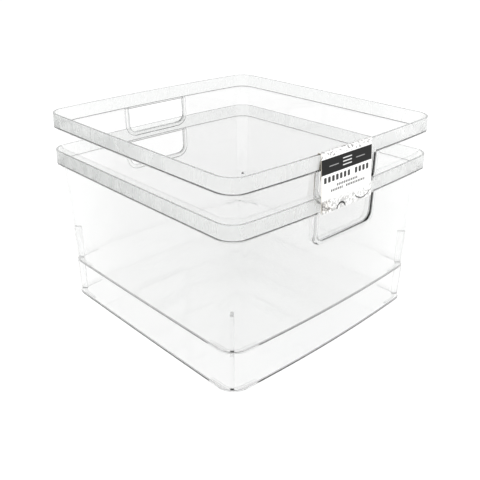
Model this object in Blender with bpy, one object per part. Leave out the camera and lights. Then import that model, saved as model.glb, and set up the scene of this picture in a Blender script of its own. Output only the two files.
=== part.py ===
"""Two identical clear storage bins, one nested in the other, with a printed card looped over the upper rim.

World frame: origin at the middle of the lower bin's footprint on the floor, +Z up, the carded
handle on the -Y side and the second handle on the +Y side. Dimensions below are in millimetres.
"""
import math

import bmesh
import bpy
from mathutils import Vector

for ob in list(bpy.data.objects):
    bpy.data.objects.remove(ob, do_unlink=True)

MM = 0.001

# ---- bin: overall ----
HEIGHT = 152.0            # floor to rim top of one bin
NEST_STEP = 35.8          # how far the upper bin sits above the lower one
FOOT_H = 0.7              # foot ridges hold the base this far off the floor
RIM_HALF = 127.0          # half width of the rim band at the corners, outside
BAND_H = 14.1             # height of the rim band
BAND_T = 1.8              # thickness of the band
SKIRT = 0.45              # how far the band hangs below the sloped shoulder that carries it
SHOULDER_DROP = 0.5       # band's lower edge down to where the shoulder leaves the wall
SHOULDER_IN = (-0.25, 1.3) # the shoulder's inside face, its two heights above the band's lower edge
BAND_EDGE_R = 0.45        # rounded lower edge of the band
RIM_EDGE = 0.35           # small round on the rim's top edges
WALL_TOP = 123.8          # half width of the wall under the band, outside
WALL_BASE = 118.0         # half width of the wall at the base, outside
WALL_T = 1.2              # wall thickness
FLOOR_T = 1.6             # floor thickness
BASE_EDGE_R = 1.8         # round between wall and base, outside
FLOOR_FILLET = 2.2        # round between wall and floor, inside
R_RIM = 15.7              # plan radius of the rim's corners
R_WALL_TOP = 15.1         # plan radius of the wall's corners under the band
R_WALL_BASE = 16.2        # plan radius of the wall's corners at the base
BOW_Y = 4.7               # outward bow of the two handle walls at mid width
BOW_X = 0.6               # outward bow of the two plain walls at mid width

# ---- bin: handles ----
HANDLE_HALF = 35.4        # half width of the hand opening
HANDLE_DROP = 40.0        # rim top down to the opening's lower edge
HANDLE_R = 8.0            # lower corners of the opening
LIP_W = 3.8               # width of the raised lip round the opening
LIP_RAISE = 2.3           # how far the lip stands out of the wall
LIP_ROOT = 0.6            # how deep the lip is rooted in the wall

# ---- bin: corner ribs and foot ridges ----
RIB_TOP = 35.5            # height of the ribs that carry the next bin
RIB_W = 3.0
RIB_INNER = 108.7         # inner edge of the ribs, as x = y on the corner's diagonal
RIB_DRAFT = 0.4
FOOT_INSET = 5.8          # base edge to the middle of a foot ridge
FOOT_W = 1.6
FOOT_END = 88.0           # where the legs of a foot ridge stop

# ---- card ----
CARD_T = 0.5
CARD_X0, CARD_X1 = -38.5, 25.0       # sides of the front panel
TONGUE_X0, TONGUE_X1 = -34.4, 20.6   # sides of the tongue that goes through the opening
CARD_BOTTOM = 138.6
CARD_GAP = 0.35

ARC_N = 8                 # segments in a quarter turn in plan
SIDE_N = 12               # segments along one side

parts = bpy.data.collections.new("nested_storage_bins")
cutters = bpy.data.collections.new("cutters")
bpy.context.scene.collection.children.link(parts)
bpy.context.scene.collection.children.link(cutters)


def bowed(x, y, half):
    """Push a plan point out by the bow of the side it lies on."""
    fx = min(abs(x) / half, 1.0)
    fy = min(abs(y) / half, 1.0)
    by = BOW_Y * (1.0 - fx * fx) * fy
    bx = BOW_X * (1.0 - fy * fy) * fx
    return x + math.copysign(bx, x), y + math.copysign(by, y)


def ring(half, radius, z, reference=None):
    """One closed plan outline of the bin: a rounded square with bowed sides."""
    reference = reference or half
    c = half - radius
    pts = []
    for quarter in range(4):
        a0 = quarter * 90.0
        sx = 1 if quarter in (0, 3) else -1
        sy = 1 if quarter in (0, 1) else -1
        arc = []
        for i in range(ARC_N + 1):
            a = math.radians(a0 + 90.0 * i / ARC_N)
            arc.append((sx * c + radius * math.cos(a), sy * c + radius * math.sin(a)))
        pts += arc
        a = math.radians(a0 + 90.0)
        end = arc[-1]
        nxt = (end[0] - 2 * c * math.cos(a - math.pi / 2), end[1] - 2 * c * math.sin(a - math.pi / 2))
        for i in range(1, SIDE_N):
            t = i / SIDE_N
            pts.append((end[0] + (nxt[0] - end[0]) * t, end[1] + (nxt[1] - end[1]) * t))
    out = []
    for x, y in pts:
        bx, by = bowed(x, y, reference)
        out.append((bx * MM, by * MM, z * MM))
    return out


def wall_half(z):
    """Outside half width of the wall at height z above the floor."""
    t = (z - FOOT_H) / (HEIGHT - BAND_H - FOOT_H)
    return WALL_BASE + (WALL_TOP - WALL_BASE) * t


def wall_radius(z):
    t = (z - FOOT_H) / (HEIGHT - BAND_H - FOOT_H)
    return R_WALL_BASE + (R_WALL_TOP - R_WALL_BASE) * t


def loft(name, rings, cap_first=True, cap_last=True, close=False):
    """Skin a stack of equal-count outlines into one closed mesh."""
    bm = bmesh.new()
    rows = [[bm.verts.new(p) for p in r] for r in rings]
    n = len(rows[0])
    pairs = list(zip(rows, rows[1:]))
    if close:
        pairs.append((rows[-1], rows[0]))
    for low, high in pairs:
        for i in range(n):
            j = (i + 1) % n
            bm.faces.new((low[i], low[j], high[j], high[i]))
    if not close and cap_first:
        bm.faces.new(list(reversed(rows[0])))
    if not close and cap_last:
        bm.faces.new(rows[-1])
    bmesh.ops.recalc_face_normals(bm, faces=bm.faces[:])
    mesh = bpy.data.meshes.new(name)
    bm.to_mesh(mesh)
    bm.free()
    return mesh


def quarter(cx, cz, r, a0, a1, steps):
    """Points of a quarter turn in a (half width, height) profile."""
    return [
        (cx + r * math.cos(math.radians(a0 + (a1 - a0) * i / steps)), cz + r * math.sin(math.radians(a0 + (a1 - a0) * i / steps)))
        for i in range(steps + 1)
    ]


def bin_shell_mesh():
    """The moulding without handles, ribs and feet: one profile of half widths carried round the plan."""
    zb = HEIGHT - BAND_H
    rings = []

    def add(half, z, radius):
        rings.append(ring(half, radius, z))

    # outside, from the base up
    for half, z in quarter(WALL_BASE - BASE_EDGE_R, FOOT_H + BASE_EDGE_R, BASE_EDGE_R, -90, 0, 3):
        add(half, z, R_WALL_BASE - (WALL_BASE - half))
    for f in (0.3, 0.65):
        z = FOOT_H + (zb - FOOT_H) * f
        add(wall_half(z), z, wall_radius(z))
    inner = RIM_HALF - BAND_T
    add(WALL_TOP, zb - SHOULDER_DROP, R_WALL_TOP)
    add(inner + 0.1, zb + SKIRT, R_RIM - BAND_T + 0.1)
    add(inner + 0.1, zb, R_RIM - BAND_T + 0.1)
    for half, z in quarter(RIM_HALF - BAND_EDGE_R, zb + BAND_EDGE_R, BAND_EDGE_R, -90, 0, 3):
        add(half, z, R_RIM - (RIM_HALF - half))
    add(RIM_HALF, HEIGHT - RIM_EDGE, R_RIM)
    add(RIM_HALF - RIM_EDGE, HEIGHT, R_RIM - RIM_EDGE)
    # inside, from the rim down
    add(inner + RIM_EDGE, HEIGHT, R_RIM - BAND_T + RIM_EDGE)
    add(inner, HEIGHT - RIM_EDGE, R_RIM - BAND_T)
    add(inner, zb + SHOULDER_IN[1], R_RIM - BAND_T)
    add(WALL_TOP - WALL_T, zb + SHOULDER_IN[0], R_WALL_TOP - WALL_T)
    for f in (0.65, 0.3):
        z = FOOT_H + (zb - FOOT_H) * f
        add(wall_half(z) - WALL_T, z, wall_radius(z) - WALL_T)
    zf = FOOT_H + FLOOR_T
    low = wall_half(zf + FLOOR_FILLET) - WALL_T
    for half, z in quarter(low - FLOOR_FILLET, zf + FLOOR_FILLET, FLOOR_FILLET, 0, -90, 3):
        add(half, z, R_WALL_BASE - WALL_T - (low - half))
    return loft("bin_shell", rings)


def jacket_mesh():
    """A thick skin that follows the wall, from which the handle lips are taken."""
    z0, z1 = HEIGHT - HANDLE_DROP - 14.0, HEIGHT - BAND_H + 0.3
    rings = [
        ring(wall_half(z0) + LIP_RAISE, wall_radius(z0) + LIP_RAISE, z0, wall_half(z0)),
        ring(wall_half(z1) + LIP_RAISE, wall_radius(z1) + LIP_RAISE, z1, wall_half(z1)),
        ring(wall_half(z1) - LIP_ROOT, wall_radius(z1) - LIP_ROOT, z1, wall_half(z1)),
        ring(wall_half(z0) - LIP_ROOT, wall_radius(z0) - LIP_ROOT, z0, wall_half(z0)),
    ]
    return loft("jacket", rings, close=True)


def slot_outline(half, low, high, radius, steps=6):
    """A slot open at the top with two round lower corners, as (x, z) points."""
    pts = [(half, high)]
    pts += [(x, z) for x, z in reversed(quarter(half - radius, low + radius, radius, -90, 0, steps))]
    pts += [(x, z) for x, z in reversed(quarter(-half + radius, low + radius, radius, 180, 270, steps))]
    pts.append((-half, high))
    return pts


def prism_mesh(name, outlines):
    """Upright plates from (x, z) outlines, each filled and extruded along Y between two planes."""
    bm = bmesh.new()
    for pts, y0, y1 in outlines:
        face = bm.faces.new([bm.verts.new((x * MM, y0 * MM, z * MM)) for x, z in pts])
        out = bmesh.ops.extrude_face_region(bm, geom=[face])
        moved = [g for g in out["geom"] if isinstance(g, bmesh.types.BMVert)]
        bmesh.ops.translate(bm, verts=moved, vec=Vector((0, (y1 - y0) * MM, 0)))
    bmesh.ops.recalc_face_normals(bm, faces=bm.faces[:])
    mesh = bpy.data.meshes.new(name)
    bm.to_mesh(mesh)
    bm.free()
    return mesh


def ribs_mesh():
    """Four upright ribs on the corner diagonals. Each follows the wall outside and is nearly upright inside."""
    bm = bmesh.new()
    z0, z1 = FOOT_H + FLOOR_T - 0.6, RIB_TOP
    for sx, sy in ((1, 1), (-1, 1), (-1, -1), (1, -1)):
        corners = []
        for z, inner in ((z0, RIB_INNER - RIB_DRAFT), (z1, RIB_INNER)):
            a, r = wall_half(z), wall_radius(z)
            ax = a - r + (r - 0.55) / math.sqrt(2)
            ox, oy = bowed(ax, ax, a)
            for px, py in ((inner, inner), (ox, oy)):
                for side in (-1, 1):
                    dx, dy = -side * RIB_W / 2 / math.sqrt(2), side * RIB_W / 2 / math.sqrt(2)
                    corners.append(((px + dx) * sx, (py + dy) * sy, z))
        v = [bm.verts.new((x * MM, y * MM, z * MM)) for x, y, z in corners]
        # v: low inner -, low inner +, low outer -, low outer +, then the same four on top
        for f in ((0, 1, 3, 2), (4, 6, 7, 5), (0, 4, 5, 1), (2, 3, 7, 6), (0, 2, 6, 4), (1, 5, 7, 3)):
            bm.faces.new([v[i] for i in f])
    bmesh.ops.recalc_face_normals(bm, faces=bm.faces[:])
    mesh = bpy.data.meshes.new("ribs")
    bm.to_mesh(mesh)
    bm.free()
    return mesh


def feet_mesh():
    """Four L-shaped ridges under the base corners."""
    bm = bmesh.new()
    z0, z1 = 0.0, FOOT_H + 0.5
    for sx, sy in ((1, 1), (-1, 1), (-1, -1), (1, -1)):
        rows = []
        for off in (FOOT_INSET - FOOT_W / 2, FOOT_INSET + FOOT_W / 2):
            half = WALL_BASE - off
            r = R_WALL_BASE - off
            c = half - r
            path = [(half, FOOT_END), (half, (FOOT_END + c) / 2)]
            path += quarter(c, c, r, 0, 90, ARC_N)
            path += [((FOOT_END + c) / 2, half), (FOOT_END, half)]
            row = []
            for x, y in path:
                bx, by = bowed(x, y, WALL_BASE)
                row.append((bx * sx, by * sy))
            rows.append(row)
        outer, inner = rows
        low = [[bm.verts.new((x * MM, y * MM, z0 * MM)) for x, y in row] for row in (outer, inner)]
        high = [[bm.verts.new((x * MM, y * MM, z1 * MM)) for x, y in row] for row in (outer, inner)]
        n = len(outer)
        for i in range(n - 1):
            bm.faces.new((low[0][i], low[0][i + 1], low[1][i + 1], low[1][i]))
            bm.faces.new((high[0][i], high[1][i], high[1][i + 1], high[0][i + 1]))
            bm.faces.new((low[0][i], high[0][i], high[0][i + 1], low[0][i + 1]))
            bm.faces.new((low[1][i], low[1][i + 1], high[1][i + 1], high[1][i]))
        bm.faces.new((low[0][0], low[1][0], high[1][0], high[0][0]))
        bm.faces.new((low[0][-1], high[0][-1], high[1][-1], low[1][-1]))
    bmesh.ops.recalc_face_normals(bm, faces=bm.faces[:])
    mesh = bpy.data.meshes.new("feet")
    bm.to_mesh(mesh)
    bm.free()
    return mesh


def material(name, color, transmission, roughness, ior, alpha=1.0):
    mat = bpy.data.materials.new(name)
    mat.use_nodes = True
    b = mat.node_tree.nodes["Principled BSDF"]
    b.inputs["Base Color"].default_value = (*color, 1)
    b.inputs["Roughness"].default_value = roughness
    b.inputs["IOR"].default_value = ior
    b.inputs["Transmission Weight"].default_value = transmission
    b.inputs["Alpha"].default_value = alpha
    mat.diffuse_color = (*color, alpha)
    return mat


def place(name, mesh, collection, z=0.0, cutter=False):
    ob = bpy.data.objects.new(name, mesh)
    collection.objects.link(ob)
    ob.location = (0, 0, z * MM)
    if cutter:
        ob.hide_render = True
        ob.display_type = "WIRE"
    return ob


def boolean(ob, other, operation):
    m = ob.modifiers.new(operation.lower() + "_" + other.name, "BOOLEAN")
    m.operation = operation
    m.solver = "EXACT"
    m.object = other
    return m


def smooth(mesh, angle=32.0):
    for p in mesh.polygons:
        p.use_smooth = True
    mesh.set_sharp_from_angle(angle=math.radians(angle))


shell = bin_shell_mesh()
smooth(shell)
jacket = jacket_mesh()
ribs = ribs_mesh()
feet = feet_mesh()
slot_low = HEIGHT - HANDLE_DROP
slot_high = HEIGHT - BAND_H - SHOULDER_DROP - 0.15
lips = prism_mesh(
    "lips",
    [
        (slot_outline(HANDLE_HALF + LIP_W, slot_low - LIP_W, slot_high + 1.45, HANDLE_R + LIP_W), -142.0, -112.0),
        (slot_outline(HANDLE_HALF + LIP_W, slot_low - LIP_W, slot_high + 1.45, HANDLE_R + LIP_W), 112.0, 142.0),
    ],
)
slots = prism_mesh(
    "slots",
    [
        (slot_outline(HANDLE_HALF, slot_low, slot_high + 0.2, HANDLE_R), -130.9, -112.5),
        (slot_outline(HANDLE_HALF, slot_low, slot_high + 0.2, HANDLE_R), 112.5, 130.9),
    ],
)


def make_bin(name, z):
    ob = place(name, shell.copy(), parts, z)
    ob.data.name = name
    ob.data.materials.append(material("clear_plastic_" + name.split("_")[0], (0.93, 0.96, 0.95), 0.9, 0.06, 1.49, 0.35))
    skin = place(name + "_cut_jacket", jacket, cutters, z, True)
    lip = place(name + "_add_lips", lips, cutters, z, True)
    slot = place(name + "_cut_slots", slots, cutters, z, True)
    rib = place(name + "_add_ribs", ribs, cutters, z, True)
    foot = place(name + "_add_feet", feet, cutters, z, True)
    boolean(lip, skin, "INTERSECT")
    boolean(ob, rib, "UNION")
    boolean(ob, foot, "UNION")
    boolean(ob, lip, "UNION")
    boolean(ob, slot, "DIFFERENCE")
    return ob


lower = make_bin("lower_bin", 0.0)
upper = make_bin("upper_bin", NEST_STEP)

# ---- the card: a front panel folded over the upper rim, and a tongue through the hand opening ----
top_z = HEIGHT + NEST_STEP
crown = RIM_HALF + BOW_Y
far_x = max(abs(CARD_X0), abs(CARD_X1))
bow_at_edge = BOW_Y * (1 - (far_x / RIM_HALF) ** 2)
front_y = -(crown + CARD_GAP + CARD_T / 2)                    # panel's middle at the fold
lean = 2.5                                                    # the panel's lower edge hangs this far out
inside_y = -(RIM_HALF - BAND_T + bow_at_edge - CARD_GAP - CARD_T / 2)
ledge_y = -(WALL_TOP - WALL_T + bow_at_edge - 0.35 - CARD_T / 2)
fold_z = top_z + CARD_GAP + CARD_T / 2


def panel_y(z):
    return front_y - lean * (fold_z - 0.8 - z) / (fold_z - 0.8 - CARD_BOTTOM)


def ribbon(points, thickness):
    """Closed outline of a sheet of even thickness along a polyline of (y, z) points."""
    left, right = [], []
    n = len(points)
    for i, (y, z) in enumerate(points):
        a = Vector(points[max(i - 1, 0)])
        b = Vector(points[min(i + 1, n - 1)])
        p = Vector((y, z))
        if 0 < i < n - 1:
            d0, d1 = (p - a).normalized(), (b - p).normalized()
            t = (d0 + d1).normalized()
            scale = 1.0 / max(t.dot(d0), 0.5)
        else:
            t = (b - a).normalized()
            scale = 1.0
        nrm = Vector((-t.y, t.x)) * thickness / 2 * scale
        left.append(p + nrm)
        right.append(p - nrm)
    return [(v.x, v.y) for v in left + right[::-1]]


def strip_mesh(name, outline, x0, x1):
    """Fill a (y, z) outline and extrude it along X, as quads along the sheet so it stays tidy."""
    n = len(outline) // 2
    left, right = outline[:n], outline[n:][::-1]
    bm = bmesh.new()
    sides = []
    for x in (x0, x1):
        sides.append(
            (
                [bm.verts.new((x * MM, y * MM, z * MM)) for y, z in left],
                [bm.verts.new((x * MM, y * MM, z * MM)) for y, z in right],
            )
        )
    (l0, r0), (l1, r1) = sides
    for i in range(n - 1):
        bm.faces.new((l0[i], l0[i + 1], r0[i + 1], r0[i]))
        bm.faces.new((l1[i], r1[i], r1[i + 1], l1[i + 1]))
        bm.faces.new((l0[i], l1[i], l1[i + 1], l0[i + 1]))
        bm.faces.new((r0[i], r0[i + 1], r1[i + 1], r1[i]))
    bm.faces.new((l0[0], r0[0], r1[0], l1[0]))
    bm.faces.new((l0[-1], l1[-1], r1[-1], r0[-1]))
    bmesh.ops.recalc_face_normals(bm, faces=bm.faces[:])
    mesh = bpy.data.meshes.new(name)
    bm.to_mesh(mesh)
    bm.free()
    return mesh


ledge_top = top_z - BAND_H + 1.3
front_path = [(panel_y(CARD_BOTTOM), CARD_BOTTOM), (panel_y(fold_z - 0.8), fold_z - 0.8)]
front_path += [(front_y + 0.8 + y, fold_z - 0.8 + z) for y, z in ((-0.57, 0.57), (0.0, 0.8))]
front_path += [(inside_y - 0.8, fold_z), (inside_y - 0.24, fold_z - 0.24), (inside_y, fold_z - 0.8)]
front_path += [(inside_y, fold_z - 1.2)]
front_panel = strip_mesh("card", ribbon(front_path, CARD_T), CARD_X0, CARD_X1)

tongue_path = [(inside_y, fold_z - 0.9), (inside_y, fold_z - 3.0), (ledge_y, ledge_top + 1.2)]
tongue_path += [(ledge_y, top_z - BAND_H - 0.6), (ledge_y - 0.5, top_z - BAND_H - 2.2)]
join_z = 156.5
tongue_path += [(panel_y(join_z) + 0.9, join_z + 1.2), (panel_y(join_z - 1.2) + 0.36, join_z - 1.2), (panel_y(146.5) + 0.36, 146.5)]
tongue = strip_mesh("tongue", ribbon(tongue_path, CARD_T * 0.8), TONGUE_X0, TONGUE_X1)

card = place("label_card", front_panel, parts)
tongue_ob = place("label_card_add_tongue", tongue, cutters, 0.0, True)
boolean(card, tongue_ob, "UNION")
card.data.materials.append(material("printed_card", (0.92, 0.92, 0.90), 0.0, 0.6, 1.45))
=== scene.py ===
import math

import bmesh
import bpy
from mathutils import Matrix, Vector


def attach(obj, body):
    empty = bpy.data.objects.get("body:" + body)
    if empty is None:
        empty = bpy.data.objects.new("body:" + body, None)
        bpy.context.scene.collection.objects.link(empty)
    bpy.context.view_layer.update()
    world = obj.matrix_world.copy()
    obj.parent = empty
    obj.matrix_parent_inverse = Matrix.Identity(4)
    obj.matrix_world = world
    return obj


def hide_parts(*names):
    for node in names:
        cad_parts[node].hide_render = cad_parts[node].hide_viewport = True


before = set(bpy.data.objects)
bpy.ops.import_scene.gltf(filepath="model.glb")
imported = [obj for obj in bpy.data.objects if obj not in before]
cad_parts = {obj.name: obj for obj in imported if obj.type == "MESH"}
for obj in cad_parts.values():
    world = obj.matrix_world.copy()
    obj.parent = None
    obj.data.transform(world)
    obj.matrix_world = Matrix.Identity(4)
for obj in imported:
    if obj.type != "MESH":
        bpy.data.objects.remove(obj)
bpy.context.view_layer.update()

MM = 0.001
HEIGHT, NEST_STEP, FOOT_H = 152.0, 35.8, 0.7
RIM_HALF, BAND_H, BAND_T, RIM_EDGE = 127.0, 14.1, 1.8, 0.35
WALL_TOP, WALL_BASE, WALL_T, FLOOR_T = 123.8, 118.0, 1.2, 1.6
BASE_EDGE_R, FLOOR_FILLET = 1.8, 2.2
R_RIM, R_WALL_TOP, R_WALL_BASE = 15.7, 15.1, 16.2
BOW_Y, BOW_X = 4.7, 0.6
HANDLE_HALF, HANDLE_DROP, HANDLE_R = 35.4, 40.0, 8.0
LIP_W, LIP_RAISE = 3.8, 2.3
RIB_TOP, RIB_W, RIB_INNER, RIB_DRAFT = 35.5, 3.0, 108.7, 0.4
FOOT_INSET, FOOT_W, FOOT_END = 5.8, 1.6, 88.0
CARD_T = 0.5
CARD_X0, CARD_X1 = -38.5, 25.0
TONGUE_X0, TONGUE_X1 = -34.4, 20.6
CARD_BOTTOM, CARD_GAP = 138.6, 0.35
ARC_N, SIDE_N = 14, 44
ZB = HEIGHT - BAND_H                     # bottom of the band
FLOOR_ALBEDO, FLOOR_GLOW, SKY, DIM_TOP, DIM_BEHIND, DIM_LEFT, LAMP = 0.32, 0.835, 1.075, 0.80, 0.3, 0.55, 59.0


# ------------------------------------------------------------------ plan and wall geometry
def bowed(x, y, half):
    fx, fy = min(abs(x) / half, 1.0), min(abs(y) / half, 1.0)
    by = BOW_Y * (1.0 - fx * fx) * fy
    bx = BOW_X * (1.0 - fy * fy) * fx
    return x + math.copysign(bx, x), y + math.copysign(by, y)


def ring(half, radius, z, n_arc=ARC_N, n_side=SIDE_N):
    c = half - radius
    pts = []
    for q in range(4):
        a0 = q * 90.0
        sx = 1 if q in (0, 3) else -1
        sy = 1 if q in (0, 1) else -1
        for i in range(n_arc + 1):
            a = math.radians(a0 + 90.0 * i / n_arc)
            pts.append((sx * c + radius * math.cos(a), sy * c + radius * math.sin(a)))
        a = math.radians(a0 + 90.0)
        ex, ey = pts[-1]
        nx, ny = ex - 2 * c * math.cos(a - math.pi / 2), ey - 2 * c * math.sin(a - math.pi / 2)
        for i in range(1, n_side):
            t = i / n_side
            pts.append((ex + (nx - ex) * t, ey + (ny - ey) * t))
    out = []
    for x, y in pts:
        bx, by = bowed(x, y, half)
        out.append((bx * MM, by * MM, z * MM))
    return out


def wall_half(z):
    return WALL_BASE + (WALL_TOP - WALL_BASE) * (z - FOOT_H) / (ZB - FOOT_H)


def wall_radius(z):
    return R_WALL_BASE + (R_WALL_TOP - R_WALL_BASE) * (z - FOOT_H) / (ZB - FOOT_H)


def wall_y(x, z):
    """Outside of a handle wall at (x, z), as a distance from the middle."""
    a = wall_half(z)
    return a + BOW_Y * (1.0 - min(abs(x) / a, 1.0) ** 2)


def arc(cx, cz, r, a0, a1, n):
    return [(cx + r * math.cos(math.radians(a0 + (a1 - a0) * i / n)), cz + r * math.sin(math.radians(a0 + (a1 - a0) * i / n))) for i in range(n + 1)]


def mesh_from_rows(name, rows, closed_u=True, cap0=True, cap1=True, closed_v=False):
    bm = bmesh.new()
    vs = [[bm.verts.new(p) for p in r] for r in rows]
    n = len(vs[0])
    pairs = list(zip(vs, vs[1:])) + ([(vs[-1], vs[0])] if closed_v else [])
    for lo, hi in pairs:
        for i in range(n if closed_u else n - 1):
            j = (i + 1) % n
            bm.faces.new((lo[i], lo[j], hi[j], hi[i]))
    if not closed_v and cap0:
        bm.faces.new(list(reversed(vs[0])))
    if not closed_v and cap1:
        bm.faces.new(vs[-1])
    bmesh.ops.recalc_face_normals(bm, faces=bm.faces[:])
    me = bpy.data.meshes.new(name)
    bm.to_mesh(me)
    bm.free()
    return me


def shell_mesh():
    """One profile carried round the plan: outside from the floor up, over the rim, inside down to the floor."""
    rows = []

    def add(half, z, radius):
        rows.append(ring(half, radius, z))

    def base_r(half):
        return max(R_WALL_BASE - (WALL_BASE - half), 2.0)

    b0 = WALL_BASE - BASE_EDGE_R
    add(b0 - 9.0, FOOT_H, base_r(b0 - 9.0))
    add(b0 - 0.5, FOOT_H, base_r(b0 - 0.5))
    for half, z in arc(b0, FOOT_H + BASE_EDGE_R, BASE_EDGE_R, -90, 0, 6):
        add(half, z, base_r(half))
    z0, z1 = FOOT_H + BASE_EDGE_R + 0.5, ZB - 3.0
    n = 30
    for i in range(n + 1):
        z = z0 + (z1 - z0) * i / n
        add(wall_half(z), z, wall_radius(z))
    # the shoulder, the band and the rim as one rounded polyline of (half width, height, plan radius)
    inner, top = RIM_HALF - BAND_T, WALL_TOP - WALL_T
    corners = [
        ((wall_half(z1), z1, wall_radius(z1)), 0.0),
        ((WALL_TOP, ZB - 0.5, R_WALL_TOP), 0.5),
        ((inner + 0.1, ZB + 0.45, R_RIM - BAND_T + 0.1), 0.11),
        ((inner + 0.1, ZB, R_RIM - BAND_T + 0.1), 0.07),
        ((RIM_HALF, ZB, R_RIM), 0.45),
        ((RIM_HALF, HEIGHT, R_RIM), RIM_EDGE),
        ((inner, HEIGHT, R_RIM - BAND_T), RIM_EDGE),
        ((inner, ZB + 1.3, R_RIM - BAND_T), 0.4),
        ((top, ZB - 0.25, R_WALL_TOP - WALL_T), 0.4),
        ((wall_half(z1) - WALL_T, z1, wall_radius(z1) - WALL_T), 0.0),
    ]
    pts = [Vector(c[0]) for c in corners]
    for k, (c, r) in enumerate(corners):
        if r:
            a, p, b = pts[k - 1], pts[k], pts[k + 1]
            u, v = (a - p), (b - p)
            u, v = u / math.hypot(u.x, u.y), v / math.hypot(v.x, v.y)
            q0, q1 = p + u * r, p + v * r
            add(*(q0 + u * 0.12))
            for i in range(5):
                t = i / 4
                add(*(q0 * (1 - t) ** 2 + p * 2 * t * (1 - t) + q1 * t * t))
            add(*(q1 + v * 0.12))
    zf = FOOT_H + FLOOR_T
    zi1, zi0 = z1, zf + FLOOR_FILLET + 0.5
    for i in range(n + 1):
        z = zi1 + (zi0 - zi1) * i / n
        add(wall_half(z) - WALL_T, z, wall_radius(z) - WALL_T)
    low = wall_half(zf + FLOOR_FILLET) - WALL_T
    for half, z in arc(low - FLOOR_FILLET, zf + FLOOR_FILLET, FLOOR_FILLET, 0, -90, 6):
        add(half, z, R_WALL_BASE - WALL_T - (low - half))
    add(low - FLOOR_FILLET - 0.5, zf, R_WALL_BASE - WALL_T - FLOOR_FILLET - 0.5)
    add(low - FLOOR_FILLET - 9.0, zf, 5.0)
    return mesh_from_rows("shell", rows)


# ------------------------------------------------------------------ handle opening and its lip
def slot_path(half, low, high, radius, n_arc=10, step=3.0):
    """From the top of one side, down, round the two lower corners and up again: (x, z, nx, nz), the normal pointing away from the opening."""
    out = []
    m = max(2, int((high - low - radius) / step))
    for i in range(m):
        out.append((half, high + (low + radius - high) * i / m, 1.0, 0.0))
    for i in range(n_arc + 1):
        a = math.radians(0 - 90 * i / n_arc)
        out.append((half - radius + radius * math.cos(a), low + radius + radius * math.sin(a), math.cos(a), math.sin(a)))
    m2 = max(2, int(2 * (half - radius) / step))
    for i in range(1, m2):
        out.append((half - radius - 2 * (half - radius) * i / m2, low, 0.0, -1.0))
    for i in range(n_arc + 1):
        a = math.radians(-90 - 90 * i / n_arc)
        out.append((-half + radius + radius * math.cos(a), low + radius + radius * math.sin(a), math.cos(a), math.sin(a)))
    for i in range(1, m + 1):
        out.append((-half, low + radius + (high - low - radius) * i / m, -1.0, 0.0))
    return out


def lip_mesh(side):
    """The raised lip, swept along the opening's edge and following the bowed, tapered wall."""
    prof = []
    prof += [(p, o) for p, o in arc(0.28, LIP_RAISE - 0.28, 0.28, 180, 90, 3)]
    prof += [(p, o) for p, o in arc(LIP_W - 0.7, LIP_RAISE - 0.7, 0.7, 90, 0, 4)]
    prof += [(LIP_W + 0.12, 0.45), (LIP_W + 0.45, 0.12), (LIP_W + 0.95, -0.02), (LIP_W + 1.2, -0.30)]
    prof += [(LIP_W + 0.3, -0.75), (LIP_W - 0.5, -WALL_T - 0.03)]
    prof += [(p, o) for p, o in arc(0.25, -WALL_T - 0.03 + 0.25, 0.25, 270, 180, 3)]
    rows = []
    path = slot_path(HANDLE_HALF, HEIGHT - HANDLE_DROP, ZB - 1.4, HANDLE_R)
    path = [(path[0][0], ZB - 0.40, 1.0, 0.0)] + path + [(path[-1][0], ZB - 0.40, -1.0, 0.0)]
    for k, (x, z, nx, nz) in enumerate(path):
        row = []
        for d, off in prof:
            px, pz = x + nx * d, z + nz * d
            if k in (0, len(path) - 1):
                pz += 0.64 * min(off, 1.6)                    # the ends run up into the shoulder
            y = wall_y(px, min(pz, ZB)) + off
            row.append((px * MM, side * y * MM, pz * MM))
        rows.append(row)
    return mesh_from_rows("lip", rows)


def prism(name, pts, y0, y1):
    bm = bmesh.new()
    f = bm.faces.new([bm.verts.new((x * MM, y0 * MM, z * MM)) for x, z in pts])
    out = bmesh.ops.extrude_face_region(bm, geom=[f])
    bmesh.ops.translate(bm, verts=[g for g in out["geom"] if isinstance(g, bmesh.types.BMVert)], vec=Vector((0, (y1 - y0) * MM, 0)))
    bmesh.ops.recalc_face_normals(bm, faces=bm.faces[:])
    me = bpy.data.meshes.new(name)
    bm.to_mesh(me)
    bm.free()
    return me


def slot_prism(side, grow):
    pts = [(x + nx * grow, z + nz * grow) for x, z, nx, nz in slot_path(HANDLE_HALF, HEIGHT - HANDLE_DROP, ZB - 0.45, HANDLE_R)]
    return prism("slot", pts, side * 112.0, side * 130.4)


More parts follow.
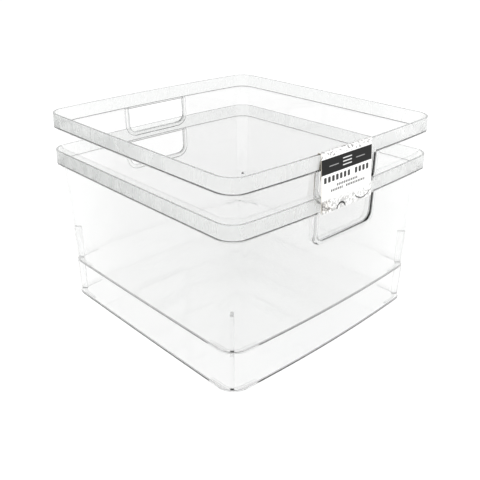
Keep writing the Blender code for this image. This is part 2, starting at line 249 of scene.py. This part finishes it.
def rib_mesh(sx, sy):
    z0, z1 = FOOT_H + FLOOR_T - 0.6, RIB_TOP
    bm = bmesh.new()
    pts = []
    for z, inner in ((z0, RIB_INNER - RIB_DRAFT), (z1, RIB_INNER)):
        a, r = wall_half(z), wall_radius(z)
        ax = a - r + (r - 0.55) / math.sqrt(2)
        ox, oy = bowed(ax, ax, a)
        for px, py in ((inner, inner), (ox, oy)):
            for side in (-1, 1):
                d = side * RIB_W / 2 / math.sqrt(2)
                pts.append(((px - d) * sx, (py + d) * sy, z))
    v = [bm.verts.new((x * MM, y * MM, z * MM)) for x, y, z in pts]
    for f in ((0, 1, 3, 2), (4, 6, 7, 5), (0, 4, 5, 1), (2, 3, 7, 6), (0, 2, 6, 4), (1, 5, 7, 3)):
        bm.faces.new([v[i] for i in f])
    bmesh.ops.recalc_face_normals(bm, faces=bm.faces[:])
    bm.edges.ensure_lookup_table()
    inner_edges = [e for e in bm.edges if {e.verts[0], e.verts[1]} in ({v[0], v[4]}, {v[1], v[5]})]
    top_edges = [e for e in bm.edges if e.verts[0] in v[4:8] and e.verts[1] in v[4:8]]
    bmesh.ops.bevel(bm, geom=inner_edges + top_edges, offset=0.42 * MM, segments=3, affect="EDGES", profile=0.5)
    me = bpy.data.meshes.new("rib")
    bm.to_mesh(me)
    bm.free()
    return me


def foot_mesh(sx, sy):
    half = WALL_BASE - FOOT_INSET
    r = R_WALL_BASE - FOOT_INSET
    c = half - r
    path = []
    for i in range(9):
        y = FOOT_END + (c - FOOT_END) * i / 9
        path.append((half, y, 1.0, 0.0))
    for i in range(13):
        a = math.radians(90 * i / 12)
        path.append((c + r * math.cos(a), c + r * math.sin(a), math.cos(a), math.sin(a)))
    for i in range(1, 10):
        x = c + (FOOT_END - c) * i / 9
        path.append((x, half, 0.0, 1.0))
    # rounded ends: the first and last stations shrink
    scales = [0.45, 0.8] + [1.0] * (len(path) - 4) + [0.8, 0.45]
    w = FOOT_W / 2
    prof = [(-w, FOOT_H + 0.5), (-w, 0.3)] + arc(-w + 0.3, 0.3, 0.3, 180, 270, 3)[1:] + arc(w - 0.3, 0.3, 0.3, 270, 360, 3)[:-1] + [(w, 0.3), (w, FOOT_H + 0.5)]
    # the two end stations sit close together so that the ends round off over a millimetre
    path[1] = (half, FOOT_END + 0.5, 1.0, 0.0)
    path[-2] = (FOOT_END + 0.5, half, 0.0, 1.0)
    rows = []
    for (x, y, nx, ny), s in zip(path, scales):
        row = []
        for d, z in prof:
            bx, by = bowed(x + nx * d * s, y + ny * d * s, WALL_BASE)
            row.append((bx * sx * MM, by * sy * MM, z * MM))
        rows.append(row)
    return mesh_from_rows("foot", rows)


def temp(me):
    ob = bpy.data.objects.new("tmp", me)
    bpy.context.scene.collection.objects.link(ob)
    return ob


def combine(base, steps):
    """Booleans in turn on a temporary object, returning the finished mesh."""
    ob = temp(base)
    for me, op in steps:
        other = temp(me)
        m = ob.modifiers.new("b", "BOOLEAN")
        m.operation, m.solver, m.object = op, "EXACT", other
        dg = bpy.context.evaluated_depsgraph_get()
        dg.update()
        new = bpy.data.meshes.new_from_object(ob.evaluated_get(dg))
        ob.modifiers.clear()
        ob.data = new
        bpy.data.objects.remove(other, do_unlink=True)
    out = ob.data
    bpy.data.objects.remove(ob, do_unlink=True)
    return out


def bin_mesh():
    steps = []
    for side in (-1, 1):
        steps.append((slot_prism(side, 0.8), "DIFFERENCE"))
        steps.append((lip_mesh(side), "UNION"))
    for sx, sy in ((1, 1), (-1, 1), (-1, -1), (1, -1)):
        steps.append((rib_mesh(sx, sy), "UNION"))
        steps.append((foot_mesh(sx, sy), "UNION"))
    me = combine(shell_mesh(), steps)
    for p in me.polygons:
        p.use_smooth = True
    me.set_sharp_from_angle(angle=math.radians(34))
    return me


# ------------------------------------------------------------------ materials
class Graph:
    """A short way to write node maths: sockets and numbers go in, a socket comes out."""

    def __init__(self, name):
        self.mat = bpy.data.materials.new(name)
        self.mat.use_nodes = True
        self.nt = self.mat.node_tree
        for n in list(self.nt.nodes):
            self.nt.nodes.remove(n)
        self.out = self.add("ShaderNodeOutputMaterial")

    def add(self, kind, **inputs):
        n = self.nt.nodes.new(kind)
        for k, v in inputs.items():
            self.put(n.inputs[k.replace("_", " ")], v)
        return n

    def put(self, socket, v):
        if isinstance(v, bpy.types.NodeSocket):
            self.nt.links.new(v, socket)
        else:
            socket.default_value = v

    def m(self, op, *args, clamp=False):
        n = self.nt.nodes.new("ShaderNodeMath")
        n.operation, n.use_clamp = op, clamp
        for i, v in enumerate(args):
            self.put(n.inputs[i], v)
        return n.outputs[0]

    def step(self, x, lo, hi, a=0.0, b=1.0):
        """Smoothly from a to b as x goes from lo to hi."""
        n = self.nt.nodes.new("ShaderNodeMapRange")
        n.interpolation_type = "SMOOTHSTEP"
        for k, v in (("Value", x), ("From Min", lo), ("From Max", hi), ("To Min", a), ("To Max", b)):
            self.put(n.inputs[k], v)
        return n.outputs["Result"]

    def box(self, x, lo, hi, soft):
        return self.m("MULTIPLY", self.step(x, lo - soft, lo + soft), self.step(x, hi - soft, hi + soft, 1.0, 0.0))

    def noise(self, vec, scale, detail=2.0, rough=0.5, distort=0.0):
        n = self.nt.nodes.new("ShaderNodeTexNoise")
        for k, v in (("Vector", vec), ("Scale", scale), ("Detail", detail), ("Roughness", rough), ("Distortion", distort)):
            self.put(n.inputs[k], v)
        return n.outputs["Fac"]

    def mapped(self, vec, loc=(0, 0, 0), rot=(0, 0, 0), scale=(1, 1, 1)):
        n = self.nt.nodes.new("ShaderNodeMapping")
        n.inputs["Location"].default_value, n.inputs["Rotation"].default_value, n.inputs["Scale"].default_value = loc, rot, scale
        self.nt.links.new(vec, n.inputs["Vector"])
        return n.outputs["Vector"]

    def mix(self, fac, a, b):
        n = self.nt.nodes.new("ShaderNodeMix")
        n.data_type = "RGBA"
        self.put(n.inputs[0], fac)
        self.put(n.inputs[6], a)
        self.put(n.inputs[7], b)
        return n.outputs[2]


def clear_plastic(name, seed):
    """Clear moulded plastic: flow waviness, hazing and scratches, and a finely textured, hazier band round the rim;
    painted shade on the +X and +Y sides, on the band's left run, along the rim's top edge and round the hand openings.
    """
    g = Graph(name)
    tc = g.add("ShaderNodeTexCoord")
    obj = tc.outputs["Object"]
    sep = g.add("ShaderNodeSeparateXYZ", Vector=obj)
    z = sep.outputs["Z"]
    own = g.mapped(obj, loc=(seed, seed * 0.37, seed * 0.71))
    band = g.box(z, (ZB + 1.8) * MM, (HEIGHT - 0.7) * MM, 0.3 * MM)
    # colour
    drift = g.noise(own, 9.0, 2.0)
    clear = g.mix(drift, (0.986, 0.987, 0.986, 1), (0.997, 0.998, 0.997, 1))
    mottle = g.noise(g.mapped(own, scale=(1.0, 1.0, 0.55)), 85.0, 1.0, 0.4)
    # painted shade: the band on the left-hand side of the rim is darkened towards the far corner, and its mottle shows
    # more strongly there
    side = g.m("MULTIPLY", g.step(sep.outputs["X"], -0.1255, -0.1215, 1.0, 0.0), g.step(sep.outputs["Y"], -0.120, 0.115))
    band_mottle_and_painted_shade = g.m("ADD", g.m("MULTIPLY", g.m("SUBTRACT", mottle, 0.5), g.m("ADD", 0.12, g.m("MULTIPLY", side, 0.75))), g.m("MULTIPLY", side, 0.92), clamp=True)
    band_colour_with_painted_shade = g.mix(band_mottle_and_painted_shade, BAND_LIGHT, BAND_MOTTLE_AND_SHADE_DARK)
    # painted shade: the walls on the +X and +Y sides are faintly greyer, and a dark line is painted along the rim's top
    # edge
    away = g.step(g.m("ADD", sep.outputs["X"], sep.outputs["Y"]), -0.03, 0.09)
    clear = g.mix(away, clear, g.mix(drift, (0.896, 0.897, 0.896, 1), (0.912, 0.913, 0.912, 1)))
    # the floor pane is thicker, so a little greyer
    clear = g.mix(g.step(z, 3.0 * MM, 4.5 * MM, 0.5, 0.0), clear, (0.948, 0.949, 0.948, 1))
    # painted shade: the band is greyer on the +X and +Y sides as well
    band_colour_with_painted_shade = g.mix(g.m("MULTIPLY", away, 0.75), band_colour_with_painted_shade, (0.865, 0.872, 0.867, 1))
    # painted shade: a dark line along the rim's top edge, darker still on the band's left run
    painted_rim_line = g.step(z, (HEIGHT - 0.50) * MM, (HEIGHT - 0.30) * MM)
    colour = g.mix(painted_rim_line, g.mix(band, clear, band_colour_with_painted_shade), g.mix(side, (0.66, 0.67, 0.665, 1), (0.42, 0.43, 0.425, 1)))
    # painted shade: the edge of each hand opening is darkened, standing in for the dark look of a thick edge of clear
    # plastic
    ax, ay, zz = g.m("DIVIDE", g.m("ABSOLUTE", sep.outputs["X"]), MM), g.m("DIVIDE", g.m("ABSOLUTE", sep.outputs["Y"]), MM), g.m("DIVIDE", z, MM)
    qx = g.m("MAXIMUM", g.m("SUBTRACT", ax, HANDLE_HALF - HANDLE_R), 0.0)
    qz = g.m("MAXIMUM", g.m("SUBTRACT", HEIGHT - HANDLE_DROP + HANDLE_R, zz), 0.0)
    d = g.m("SUBTRACT", g.m("SQRT", g.m("ADD", g.m("MULTIPLY", qx, qx), g.m("MULTIPLY", qz, qz))), HANDLE_R)
    edge = g.m("MULTIPLY", g.box(d, -0.5, 0.8, 0.25), g.m("MULTIPLY", g.step(ay, 118.5, 119.5), g.step(zz, ZB - 1.3, ZB - 0.5, 1.0, 0.0)))
    colour = g.mix(g.m("MULTIPLY", edge, 0.9), colour, (0.50, 0.51, 0.505, 1))
    # roughness
    scratch = g.noise(g.mapped(own, rot=(0.3, 0.5, 0.2), scale=(1.0, 1.0, 0.06)), 260.0, 3.0)
    rough = g.m("ADD", g.step(scratch, 0.35, 0.75, 0.012, 0.06), g.m("MULTIPLY", band, g.step(mottle, 0.3, 0.75, BAND_ROUGH, BAND_ROUGH + 0.06)))
    # bump: long flow waves, and the band's fine texture
    wave = g.noise(own, 22.0, 1.0)
    fine = g.noise(own, 900.0, 2.0)
    height = g.m("ADD", wave, g.m("MULTIPLY", g.m("MULTIPLY", fine, band), 0.05))
    bump = g.add("ShaderNodeBump", Strength=0.10, Distance=0.0010, Height=height)
    p = g.add("ShaderNodeBsdfPrincipled", Base_Color=colour, Roughness=rough, Normal=bump.outputs["Normal"])
    p.inputs["IOR"].default_value = 1.54
    p.inputs["Transmission Weight"].default_value = 1.0
    # lamps reach what stands in and behind the plastic
    tr = g.add("ShaderNodeBsdfTransparent", Color=(0.97, 0.975, 0.972, 1))
    lp = g.add("ShaderNodeLightPath")
    mix = g.add("ShaderNodeMixShader")
    g.put(mix.inputs[0], lp.outputs["Is Shadow Ray"])
    g.put(mix.inputs[1], p.outputs["BSDF"])
    g.put(mix.inputs[2], tr.outputs["BSDF"])
    g.put(g.out.inputs["Surface"], mix.outputs["Shader"])
    vol = g.add("ShaderNodeVolumeAbsorption")
    vol.inputs["Color"].default_value = ABSORB_COLOUR
    vol.inputs["Density"].default_value = ABSORB
    g.put(g.out.inputs["Volume"], vol.outputs["Volume"])
    return g.mat


def printed_card(name):
    """Uncoated card: greeked print on the outer face (UV x from 0 to 1), plain kraft on the inner face (UV x above 1.5)."""
    g = Graph(name)
    tc = g.add("ShaderNodeTexCoord")
    sep = g.add("ShaderNodeSeparateXYZ", Vector=tc.outputs["UV"])
    U0, V0 = sep.outputs["X"], sep.outputs["Y"]
    inner = g.m("GREATER_THAN", U0, 1.5)
    u = g.m("MULTIPLY", g.m("SUBTRACT", U0, g.m("MULTIPLY", inner, 2.0)), 100.0)
    v = g.m("MULTIPLY", V0, 100.0)
    flat = g.add("ShaderNodeCombineXYZ", X=u, Y=v, Z=0.0).outputs[0]
    grain = g.noise(flat, 3.2, 4.0, 0.65)
    blotch = g.noise(flat, 0.12, 2.0)
    edge = g.m("MULTIPLY", g.m("SUBTRACT", grain, 0.5), 0.35)
    un, vn = g.m("ADD", u, edge), g.m("ADD", v, edge)
    S = 0.10

    def rect(x0, x1, y0, y1, soft=S):
        return g.m("MULTIPLY", g.box(un, x0, x1, soft), g.box(vn, y0, y1, soft))

    def any_of(*masks):
        out = masks[0]
        for k in masks[1:]:
            out = g.m("MAXIMUM", out, k)
        return out

    def cells(x0, x1, pitch, fill, y0, y1):
        """A run of equal rounded blocks, greeked lettering."""
        ph = g.m("FRACT", g.m("DIVIDE", g.m("SUBTRACT", u, x0), pitch))
        cu = g.m("MULTIPLY", g.m("ABSOLUTE", g.m("SUBTRACT", ph, fill / 2)), pitch)
        cv = g.m("ABSOLUTE", g.m("SUBTRACT", v, (y0 + y1) / 2))
        hx, hy = fill * pitch / 2, (y1 - y0) / 2
        r = min(0.9, hx * 0.8)
        dx = g.m("MAXIMUM", g.m("SUBTRACT", cu, hx - r), 0.0)
        dy = g.m("MAXIMUM", g.m("SUBTRACT", cv, hy - r), 0.0)
        d = g.m("SUBTRACT", g.m("SQRT", g.m("ADD", g.m("MULTIPLY", dx, dx), g.m("MULTIPLY", dy, dy))), r)
        return g.m("MULTIPLY", g.step(g.m("ADD", d, g.m("MULTIPLY", edge, 0.4)), -S, S, 1.0, 0.0), g.box(u, x0 - 0.05, x1 - 0.1, 0.02))

    band = rect(-2.0, 70.0, 31.7, 44.4, 0.08)
    heading = any_of(cells(3.0, 36.9, 4.85, 0.66, 24.7, 29.6), cells(41.4, 61.0, 4.9, 0.66, 24.7, 29.6))
    small = any_of(cells(18.5, 45.4, 2.25, 0.68, 19.6, 21.9), cells(11.2, 27.0, 2.2, 0.68, 16.2, 18.5), cells(30.0, 54.8, 2.2, 0.68, 16.2, 18.5))
    # three equal bars, and a rule each side of them
    tray = any_of(rect(26.2, 37.4, 40.3, 41.2), rect(26.2, 37.4, 37.5, 38.4), rect(26.2, 37.4, 34.7, 35.6))
    rules = any_of(rect(9.5, 20.8, 37.4, 38.1), rect(42.8, 54.1, 37.4, 38.1))
    # loose ink marbling along the bottom and flecks in the top strip
    warp = g.noise(flat, 0.16, 3.0, 0.55, 0.8)
    width = g.noise(flat, 0.35, 1.0)
    line = g.step(g.m("ABSOLUTE", g.m("SUBTRACT", warp, 0.50)), 0.0, g.m("MULTIPLY", width, 0.15), 1.0, 0.0)
    fleck = g.step(g.noise(g.mapped(flat, loc=(7, 3, 0)), 0.42, 2.0, 0.6), 0.545, 0.585)
    low = g.step(g.m("ADD", v, g.m("MULTIPLY", blotch, 6.0)), 11.0, 16.0, 1.0, 0.0)
    left = g.step(g.m("ADD", u, g.m("MULTIPLY", v, 0.5)), 9.0, 19.0, 1.0, 0.0)
    art = g.m("MULTIPLY", any_of(line, g.m("MULTIPLY", fleck, 0.9)), g.m("MULTIPLY", low, g.step(left, 0.0, 1.0, 0.62, 1.0)))
    # two plain brush arcs
    def arc_stroke(cx, cy, r, w, x0, x1, y0, y1):
        du, dv = g.m("SUBTRACT", un, cx), g.m("SUBTRACT", vn, cy)
        d = g.m("ABSOLUTE", g.m("SUBTRACT", g.m("SQRT", g.m("ADD", g.m("MULTIPLY", du, du), g.m("MULTIPLY", dv, dv))), r))
        return g.m("MULTIPLY", g.step(d, w - 0.25, w + 0.15, 1.0, 0.0), g.m("MULTIPLY", g.box(u, x0, x1, 0.5), g.box(v, y0, y1, 0.4)))
    strokes = any_of(arc_stroke(24.2, -0.6, 5.2, 0.75, 17.0, 31.0, -1, 7), arc_stroke(52.0, 15.0, 13.5, 0.5, 42.5, 61.5, -1, 8.5))
    sepia = g.m("MULTIPLY", g.m("MULTIPLY", left, g.box(g.m("ADD", v, g.m("MULTIPLY", blotch, 4.0)), 3.0, 13.0, 1.5)), g.step(grain, 0.42, 0.60, 0.0, 0.75))
    top = g.m("MULTIPLY", g.m("MULTIPLY", g.step(v, 44.9, 45.5), fleck), 0.8)
    paper = g.mix(g.step(grain, 0.25, 0.8), (0.86, 0.855, 0.845, 1), (0.93, 0.928, 0.92, 1))
    c = g.mix(sepia, paper, (0.43, 0.37, 0.31, 1))
    c = g.mix(g.m("MULTIPLY", any_of(art, top), 0.88), c, (0.05, 0.048, 0.045, 1))
    c = g.mix(g.m("MULTIPLY", any_of(heading, strokes), 0.96), c, (0.006, 0.006, 0.006, 1))
    c = g.mix(g.m("MULTIPLY", small, 0.92), c, (0.02, 0.02, 0.02, 1))
    c = g.mix(band, c, g.mix(grain, (0.003, 0.003, 0.003, 1), (0.007, 0.007, 0.007, 1)))
    c = g.mix(g.m("MULTIPLY", tray, 0.85), c, (0.80, 0.80, 0.80, 1))
    c = g.mix(g.m("MULTIPLY", rules, 0.45), c, (0.70, 0.70, 0.70, 1))
    # rubbed edges, where the board shows through
    rub = g.m("MULTIPLY", any_of(g.step(u, 0.0, 0.7, 1.0, 0.0), g.step(u, 62.8, 63.5), g.step(v, 0.0, 0.6, 1.0, 0.0)), g.step(grain, 0.45, 0.62))
    c = g.mix(g.m("MULTIPLY", rub, 0.7), c, (0.78, 0.76, 0.72, 1))
    fibres = g.noise(g.mapped(flat, scale=(0.35, 2.4, 1.0)), 1.6, 4.0, 0.7)
    kraft = g.mix(g.step(fibres, 0.3, 0.7), (0.52, 0.46, 0.37, 1), (0.66, 0.60, 0.51, 1))
    c = g.mix(inner, c, kraft)
    ink = any_of(band, heading)
    rough = g.m("ADD", g.step(grain, 0.2, 0.8, 0.50, 0.66), g.m("MULTIPLY", g.m("MULTIPLY", ink, g.m("SUBTRACT", 1.0, inner)), -0.12))
    height = g.m("ADD", grain, g.m("MULTIPLY", fibres, 0.6))
    bump = g.add("ShaderNodeBump", Strength=0.25, Distance=0.0001, Height=height)
    p = g.add("ShaderNodeBsdfPrincipled", Base_Color=c, Roughness=rough, Normal=bump.outputs["Normal"])
    p.inputs["Specular IOR Level"].default_value = 0.20
    g.put(g.out.inputs["Surface"], p.outputs["BSDF"])
    return g.mat


# ------------------------------------------------------------------ the two bins
# the band's clear colour, its colour where mottle and painted shade darken it, and its roughness
BAND_LIGHT, BAND_MOTTLE_AND_SHADE_DARK, BAND_ROUGH = (0.985, 0.991, 0.986, 1), (0.70, 0.712, 0.704, 1), 0.21
ABSORB_COLOUR, ABSORB = (0.52, 0.535, 0.52, 1), 9.0
one_bin = bin_mesh()
for name, node, body, z, seed in (("lower_bin_moulding", "lower_bin", "lower", 0.0, 0.0), ("upper_bin_moulding", "upper_bin", "upper", NEST_STEP, 3.1)):
    me = one_bin.copy()
    ob = bpy.data.objects.new(name, me)
    ob.location = (0, 0, z * MM)
    bpy.context.scene.collection.objects.link(ob)
    me.materials.clear()
    me.materials.append(clear_plastic("clear_plastic_" + body, seed))
    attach(ob, body)
    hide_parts(node)

# ------------------------------------------------------------------ the card
TOP_Z = HEIGHT + NEST_STEP
BOW_AT_EDGE = BOW_Y * (1 - (max(abs(CARD_X0), abs(CARD_X1)) / RIM_HALF) ** 2)
FRONT_Y = -(RIM_HALF + BOW_Y + CARD_GAP + CARD_T / 2)
LEAN = 2.5
INSIDE_Y = -(RIM_HALF - BAND_T + BOW_AT_EDGE - CARD_GAP - CARD_T / 2)
LEDGE_Y = -(WALL_TOP - WALL_T + BOW_AT_EDGE - 0.35 - CARD_T / 2)
FOLD_Z = TOP_Z + CARD_GAP + CARD_T / 2
LEDGE_TOP = TOP_Z - BAND_H + 1.3


def panel_y(z):
    return FRONT_Y - LEAN * (FOLD_Z - 0.8 - z) / (FOLD_Z - 0.8 - CARD_BOTTOM)


def dense(points, step):
    out = []
    for (y0, z0), (y1, z1) in zip(points, points[1:]):
        n = max(1, int(math.hypot(y1 - y0, z1 - z0) / step))
        out += [(y0 + (y1 - y0) * i / n, z0 + (z1 - z0) * i / n) for i in range(n)]
    return out + [points[-1]]


def sheet_mesh(name, path, x0, x1, t, cols, ripple=0.0):
    """A card strip of even thickness with rounded plan corners at its first end; UVs in tenths of a metre."""
    n = len(path)
    s = [0.0]
    for a, b in zip(path, path[1:]):
        s.append(s[-1] + math.hypot(b[0] - a[0], b[1] - a[1]))
    bm = bmesh.new()
    uv = bm.loops.layers.uv.new("UVMap")
    front, backs = [], []
    for i, (y, z) in enumerate(path):
        a, b = path[max(i - 1, 0)], path[min(i + 1, n - 1)]
        d = Vector((b[0] - a[0], b[1] - a[1])).normalized()
        nr = Vector((-d.y, d.x))
        k = 1.0
        if 0 < i < n - 1:
            e = (Vector(path[i]) - Vector(a)).normalized()
            k = 1.0 / max(d.dot(e), 0.7)
        rf, rb = [], []
        for j in range(cols + 1):
            f = j / cols
            inset = 0.0
            if s[i] < 1.2:
                inset = 1.2 - math.sqrt(max(0.0, 1.2 ** 2 - (1.2 - s[i]) ** 2))
            x = x0 + inset + (x1 - x0 - 2 * inset) * f
            off = ripple * (math.sin(f * 5.1 + 0.6) * 0.6 + math.sin(f * 2.3 + s[i] * 0.09)) * min(1.0, s[i] / 8.0)
            for row, h in ((rf, t / 2), (rb, -t / 2)):
                q = Vector((y, z)) + nr * (h * k + off)
                row.append(bm.verts.new((x * MM, q.x * MM, q.y * MM)))
        front.append(rf)
        backs.append(rb)

    def quad(vs, uvs):
        f = bm.faces.new(vs)
        for lp, c in zip(f.loops, uvs):
            lp[uv].uv = c

    def c(i, j, off=0.0):
        return ((x1 - x0) * j / cols / 100 + off, s[i] / 100)

    for i in range(n - 1):
        for j in range(cols):
            quad((front[i][j], front[i][j + 1], front[i + 1][j + 1], front[i + 1][j]), (c(i, j), c(i, j + 1), c(i + 1, j + 1), c(i + 1, j)))
            quad((backs[i][j], backs[i + 1][j], backs[i + 1][j + 1], backs[i][j + 1]), (c(i, j, 2), c(i + 1, j, 2), c(i + 1, j + 1, 2), c(i, j + 1, 2)))
        quad((front[i][0], front[i + 1][0], backs[i + 1][0], backs[i][0]), (c(i, 0, 2), c(i + 1, 0, 2), c(i + 1, 0, 2), c(i, 0, 2)))
        quad((front[i][cols], backs[i][cols], backs[i + 1][cols], front[i + 1][cols]), (c(i, cols, 2), c(i, cols, 2), c(i + 1, cols, 2), c(i + 1, cols, 2)))
    for i in (0, n - 1):
        for j in range(cols):
            vs = (front[i][j], backs[i][j], backs[i][j + 1], front[i][j + 1])
            quad(vs if i == 0 else vs[::-1], (c(i, j, 2),) * 4)
    bmesh.ops.recalc_face_normals(bm, faces=bm.faces[:])
    me = bpy.data.meshes.new(name)
    bm.to_mesh(me)
    bm.free()
    for p in me.polygons:
        p.use_smooth = True
    me.set_sharp_from_angle(angle=math.radians(50))
    return me


front_path = dense([(panel_y(CARD_BOTTOM), CARD_BOTTOM), (panel_y(FOLD_Z - 0.8), FOLD_Z - 0.8)], 0.6)
front_path += [(FRONT_Y + 0.8 - 0.8 * math.cos(a), FOLD_Z - 0.8 + 0.8 * math.sin(a)) for a in (math.radians(k) for k in (22, 45, 67, 90))]
front_path += dense([(FRONT_Y + 1.4, FOLD_Z), (INSIDE_Y - 0.8, FOLD_Z)], 0.6)
front_path += [(INSIDE_Y - 0.8 + 0.8 * math.sin(a), FOLD_Z - 0.8 + 0.8 * math.cos(a)) for a in (math.radians(k) for k in (30, 60, 90))]
front_path += [(INSIDE_Y, FOLD_Z - 1.1)]
tongue_path = dense([(INSIDE_Y, FOLD_Z - 0.85), (INSIDE_Y, FOLD_Z - 3.0), (LEDGE_Y, LEDGE_TOP + 1.2)], 1.0)
JOIN_Z = 156.5
tongue_path += dense([(LEDGE_Y, TOP_Z - BAND_H - 0.6), (LEDGE_Y - 0.5, TOP_Z - BAND_H - 2.2), (panel_y(JOIN_Z) + 0.9, JOIN_Z + 1.2), (panel_y(JOIN_Z - 1.2) + 0.45, JOIN_Z - 1.2), (panel_y(146.5) + 0.45, 146.5)], 1.0)
card_mat = printed_card("printed_card_stock")
panel = bpy.data.objects.new("label_card_panel", sheet_mesh("label_card_panel", front_path, CARD_X0, CARD_X1, 0.40, 32, 0.06))
tongue = bpy.data.objects.new("label_card_tongue", sheet_mesh("label_card_tongue", tongue_path, TONGUE_X0, TONGUE_X1, 0.36, 24))
# the tongue's outward face is board too
for lp in tongue.data.uv_layers[0].data:
    if lp.uv.x < 1.5:
        lp.uv.x += 2.0
for ob in (panel, tongue):
    bpy.context.scene.collection.objects.link(ob)
    ob.data.materials.append(card_mat)
    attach(ob, "card")
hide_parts("label_card")

# ------------------------------------------------------------------ stage
floor_me = bpy.data.meshes.new("floor")
S = 9.0
floor_me.from_pydata([(-S, -S, -0.0001), (S, -S, -0.0001), (S, S, -0.0001), (-S, S, -0.0001)], [], [(0, 1, 2, 3)])
floor = bpy.data.objects.new("floor", floor_me)
bpy.context.scene.collection.objects.link(floor)
g = Graph("white_table")
ftc = g.add("ShaderNodeTexCoord")
fibre = g.noise(ftc.outputs["Object"], 60.0, 3.0)
fb = g.add("ShaderNodeBsdfPrincipled", Base_Color=g.mix(fibre, (FLOOR_ALBEDO - 0.01,) * 3 + (1,), (FLOOR_ALBEDO + 0.01,) * 3 + (1,)), Roughness=0.9)
fb.inputs["Emission Color"].default_value = (1, 1, 1, 1)
fb.inputs["Emission Strength"].default_value = FLOOR_GLOW
fb.inputs["Specular IOR Level"].default_value = 0.1
g.put(g.out.inputs["Surface"], fb.outputs["BSDF"])
floor_me.materials.append(g.mat)

# a white room: bright round the horizon, dimmer overhead and on the side the camera stands on
world = bpy.data.worlds.new("studio")
bpy.context.scene.world = world
world.use_nodes = True


class WorldGraph(Graph):
    def __init__(self, nt):
        self.nt = nt
        for n in list(nt.nodes):
            nt.nodes.remove(n)


w = WorldGraph(world.node_tree)
wtc = w.add("ShaderNodeTexCoord")
wsep = w.add("ShaderNodeSeparateXYZ", Vector=wtc.outputs["Generated"])
wx, wy, wz = wsep.outputs
toward = w.m("ADD", w.m("MULTIPLY", wx, -0.684), w.m("MULTIPLY", wy, -0.729))
leftward = w.m("ADD", w.m("MULTIPLY", wx, -0.729), w.m("MULTIPLY", wy, 0.684))
overhead = w.step(wz, 0.36, 0.80)
behind = w.m("MULTIPLY", w.step(toward, 0.15, 0.75), w.step(wz, 0.02, 0.25))
flag = w.m("MULTIPLY", w.step(leftward, 0.45, 0.85), w.step(wz, 0.0, 0.12))
level = w.m("MULTIPLY", SKY, w.m("MULTIPLY", w.m("SUBTRACT", 1.0, w.m("MULTIPLY", overhead, DIM_TOP)), w.m("MULTIPLY", w.m("SUBTRACT", 1.0, w.m("MULTIPLY", behind, DIM_BEHIND)), w.m("SUBTRACT", 1.0, w.m("MULTIPLY", flag, DIM_LEFT)))))
bg = w.add("ShaderNodeBackground", Color=(1, 1, 1, 1), Strength=level)
wo = w.add("ShaderNodeOutputWorld", Surface=bg.outputs["Background"])


def area(name, loc, target, size, power):
    li = bpy.data.lights.new(name, "AREA")
    li.shape, li.size, li.size_y = "RECTANGLE", size[0], size[1]
    li.energy = power
    ob = bpy.data.objects.new(name, li)
    bpy.context.scene.collection.objects.link(ob)
    ob.location = loc
    ob.rotation_euler = (Vector(target) - Vector(loc)).to_track_quat("-Z", "Y").to_euler()
    ob.visible_glossy = False
    ob.visible_transmission = False
    return ob


area("top_soft", (0, 0, 3.0), (0, 0, 0), (5.0, 5.0), LAMP)
area("front_soft", (-0.9, -2.4, 1.1), (0, -0.1, 0.15), (2.2, 1.6), 40.0)

# ------------------------------------------------------------------ camera
F_PX, CX, CY = 683.148, 238.694, 165.0
AZ, EL, DIST, TZ, ROLL = math.radians(-43.195), math.radians(19.278), 0.649765, 0.136555, math.radians(0.088)
back = Vector((math.sin(AZ) * math.cos(EL), -math.cos(AZ) * math.cos(EL), math.sin(EL)))
cam_d = bpy.data.cameras.new("camera")
cam = bpy.data.objects.new("camera", cam_d)
bpy.context.scene.collection.objects.link(cam)
right = (-back).cross(Vector((0, 0, 1))).normalized()
up = right.cross(-back)
r2 = right * math.cos(ROLL) + up * math.sin(ROLL)
u2 = -right * math.sin(ROLL) + up * math.cos(ROLL)
m = Matrix((r2, u2, back)).transposed().to_4x4()
m.translation = Vector((0, 0, TZ)) + back * DIST
cam.matrix_world = m
cam_d.sensor_width = 36.0
cam_d.lens = F_PX / 480 * 36.0
cam_d.shift_x = (240 - CX) / 480
cam_d.shift_y = (CY - 240) / 480
cam_d.clip_start, cam_d.clip_end = 0.01, 50.0
bpy.context.scene.camera = cam

sc = bpy.context.scene
sc.view_settings.view_transform = "Standard"
sc.view_settings.look = "None"
sc.cycles.max_bounces = 40
sc.cycles.transmission_bounces = 40
sc.cycles.glossy_bounces = 12
sc.cycles.diffuse_bounces = 4
sc.cycles.transparent_max_bounces = 40
sc.cycles.caustics_reflective = False
sc.cycles.caustics_refractive = True
